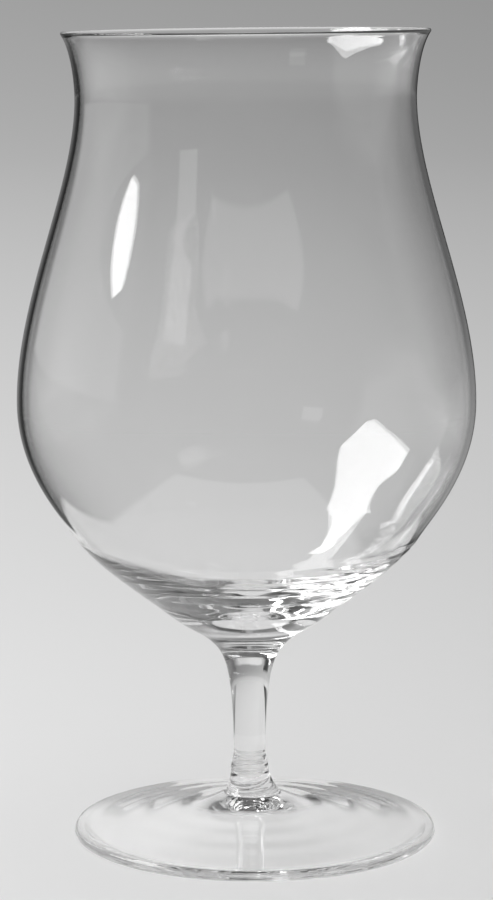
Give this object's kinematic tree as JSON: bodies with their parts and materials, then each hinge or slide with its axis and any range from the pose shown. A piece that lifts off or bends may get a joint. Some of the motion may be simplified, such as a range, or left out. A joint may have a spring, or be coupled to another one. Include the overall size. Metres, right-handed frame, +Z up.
{
  "type": "cognac glass",
  "caption": "Stemmed tulip drinking glass of clear blown glass: flared rim, round belly, thick stepped base, short stem and wide round foot.",
  "frame": {"origin": "centre of the foot's underside, on the surface the glass stands on", "axes": "+Z up along the axis of the stem and bowl, towards the rim; the glass is turned about it, so X and Y are free"},
  "size_m": [0.0846, 0.0846, 0.15],
  "materials": {
    "clear_glass": "clear, fire-polished"
  },
  "bodies": {
    "root": {"cognac_glass": "clear_glass"}
  },
  "joints": []
}
